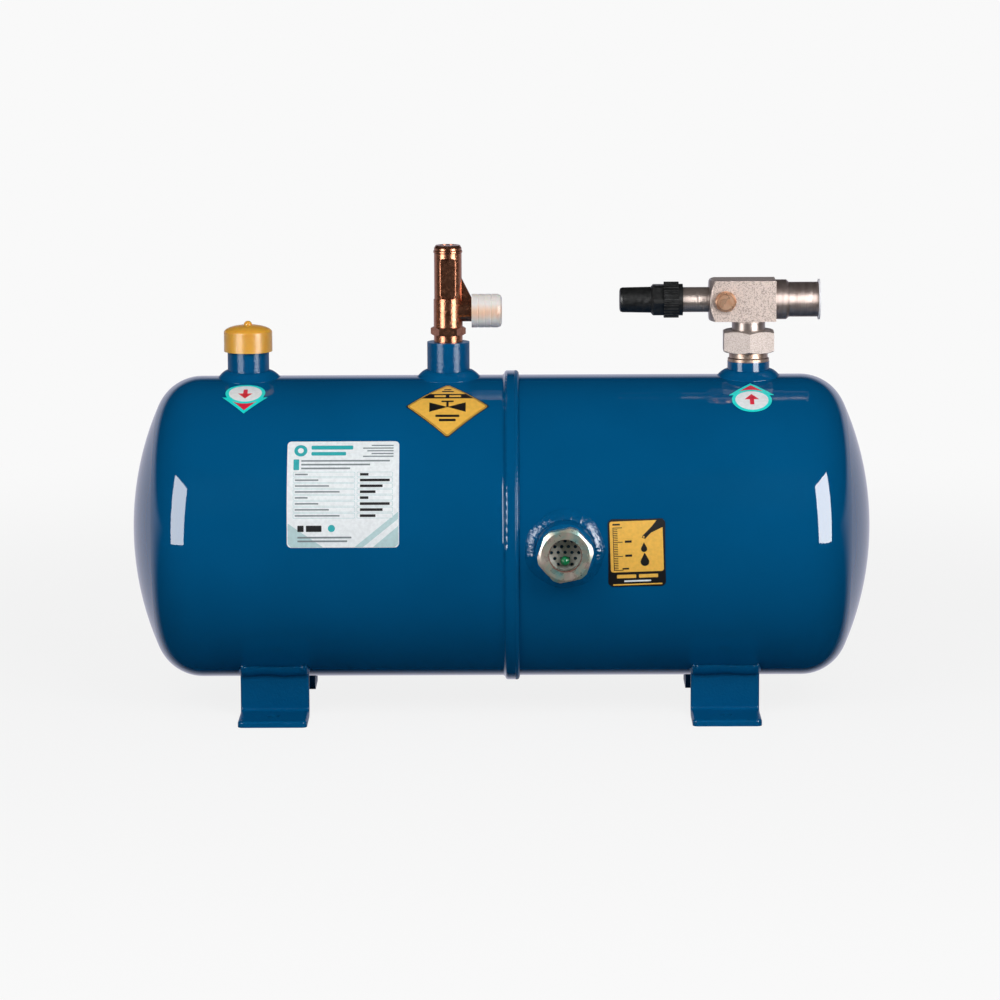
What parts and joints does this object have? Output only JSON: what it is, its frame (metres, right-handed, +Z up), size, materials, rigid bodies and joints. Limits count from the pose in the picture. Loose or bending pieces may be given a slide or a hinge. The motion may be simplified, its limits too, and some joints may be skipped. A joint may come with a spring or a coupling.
{
  "type": "horizontal liquid receiver",
  "caption": "Horizontal welded steel vessel on feet that stores liquid refrigerant, with capped inlet, relief valve, sight glass and screw-down outlet service valve.",
  "frame": {"origin": "on the floor plane at the centre of the four foot bolt holes, under the middle of the vessel", "axes": "+X along the vessel towards the outlet end, -Y towards the sight glass side, +Z up"},
  "size_m": [0.535, 0.2506, 0.3367],
  "materials": {
    "blue_paint": "gloss stove enamel, dark blue",
    "label_film": "printed film, satin",
    "yellow_vinyl": "soft satin vinyl, orange yellow",
    "brass": "hot pressed and turned, reddish",
    "spring_steel": "bright drawn wire",
    "soft_seal": "plain white seal material",
    "clear_plastic": "milky translucent, ribbed",
    "white_plastic": "thin moulded white",
    "black_plastic": "satin black, moulded",
    "valve_steel": "turned and blasted, nickel tone",
    "copper": "soft annealed copper",
    "plated_steel": "zinc plated, iridescent",
    "clear_glass": "clear polished disc",
    "green_float": "gloss green"
  },
  "bodies": {
    "vessel": {"left_shell": "blue_paint", "right_shell": "blue_paint", "girth_weld": "blue_paint", "inlet_stub": "blue_paint", "inlet_weld": "blue_paint", "relief_boss": "blue_paint", "relief_boss_weld": "blue_paint", "outlet_connector": "blue_paint", "outlet_weld": "blue_paint", "sight_boss": "blue_paint", "sight_weld": "blue_paint", "foot_left_front": "blue_paint", "foot_left_rear": "blue_paint", "foot_right_front": "blue_paint", "foot_right_rear": "blue_paint", "foot_weld_left_front": "blue_paint", "foot_weld_left_rear": "blue_paint", "foot_weld_right_front": "blue_paint", "foot_weld_right_rear": "blue_paint", "data_label": "label_film", "inlet_arrow_label": "label_film", "outlet_arrow_label": "label_film", "relief_label": "label_film", "level_label": "label_film", "relief_body": "brass", "relief_adjuster": "brass", "relief_top_seal": "brass", "relief_spring": "spring_steel", "dip_tube": "valve_steel", "union_gasket": "soft_seal", "sight_plug": "plated_steel", "sight_gasket": "soft_seal", "sight_glass": "clear_glass", "sight_spacer": "plated_steel", "sight_screen": "plated_steel", "sight_retainer": "plated_steel"},
    "inlet_cap": {"inlet_cap": "yellow_vinyl"},
    "relief_disc": {"relief_disc": "brass", "relief_seal": "soft_seal"},
    "relief_outlet_cap": {"relief_outlet_cap": "clear_plastic"},
    "service_valve": {"valve_body": "valve_steel", "outlet_tube": "valve_steel", "stem_packing": "soft_seal", "gland_nut": "valve_steel"},
    "union_nut": {"union_nut": "valve_steel"},
    "valve_disc": {"valve_disc": "valve_steel"},
    "spindle": {"spindle": "valve_steel"},
    "stem_cap_seal": {"stem_cap_seal": "soft_seal"},
    "stem_cap": {"stem_cap": "black_plastic"},
    "gauge_washer": {"gauge_washer": "copper"},
    "gauge_plug": {"gauge_plug": "brass"},
    "outlet_end_plug": {"outlet_end_plug": "white_plastic"},
    "float_ball": {"float_ball": "green_float"}
  },
  "joints": [
    {"name": "inlet_cap_pull", "type": "slide", "parent": "vessel", "child": "inlet_cap", "axis": [0, 0, 1], "range_m": [0, 0.045]},
    {"name": "relief_lift", "type": "slide", "parent": "vessel", "child": "relief_disc", "axis": [0, 0, 1], "range_m": [0, 0.002], "stiffness_N_per_m": 400, "springref_m": -0.005, "deforming": ["relief_spring"]},
    {"name": "relief_outlet_cap_pull", "type": "slide", "parent": "vessel", "child": "relief_outlet_cap", "axis": [1, 0, 0], "range_m": [0, 0.035]},
    {"name": "valve_lift", "type": "slide", "parent": "vessel", "child": "service_valve", "axis": [0, 0, 1], "range_m": [0, 0.01058]},
    {"name": "union_nut_turn", "type": "hinge", "parent": "service_valve", "child": "union_nut", "pos_m": [0.1808, 0, 0.2665], "axis": [0, 0, 1], "range_deg": [0, 1800]},
    {"name": "valve_disc_travel", "type": "slide", "parent": "service_valve", "child": "valve_disc", "axis": [1, 0, 0], "range_m": [0, 0.012]},
    {"name": "spindle_turn", "type": "hinge", "parent": "valve_disc", "child": "spindle", "pos_m": [0.1308, 0, 0.2965], "axis": [1, 0, 0], "range_deg": [0, 2881]},
    {"name": "stem_cap_off", "type": "slide", "parent": "service_valve", "child": "stem_cap_seal", "axis": [-1, 0, 0], "range_m": [0, 0.015]},
    {"name": "stem_cap_turn", "type": "hinge", "parent": "stem_cap_seal", "child": "stem_cap", "pos_m": [0.1208, 0, 0.2965], "axis": [-1, 0, 0], "range_deg": [0, 3601]},
    {"name": "gauge_plug_out", "type": "slide", "parent": "service_valve", "child": "gauge_washer", "axis": [0, -1, 0], "range_m": [0, 0.0085]},
    {"name": "gauge_plug_turn", "type": "hinge", "parent": "gauge_washer", "child": "gauge_plug", "pos_m": [0.1636, -0.015, 0.2965], "axis": [0, -1, 0], "range_deg": [0, 2169]},
    {"name": "outlet_end_plug_pull", "type": "slide", "parent": "service_valve", "child": "outlet_end_plug", "axis": [1, 0, 0], "range_m": [0, 0.03]},
    {"name": "float_rise", "type": "slide", "parent": "vessel", "child": "float_ball", "axis": [0, 0, 1], "range_m": [0, 0.0106]}
  ],
  "couplings": [
    {"joint": "union_nut_turn", "follows": "valve_lift", "rad_per_m": 2968},
    {"joint": "spindle_turn", "follows": "valve_disc_travel", "rad_per_m": 4188.8},
    {"joint": "stem_cap_turn", "follows": "stem_cap_off", "rad_per_m": 4188.8},
    {"joint": "gauge_plug_turn", "follows": "gauge_plug_out", "rad_per_m": 4453}
  ]
}
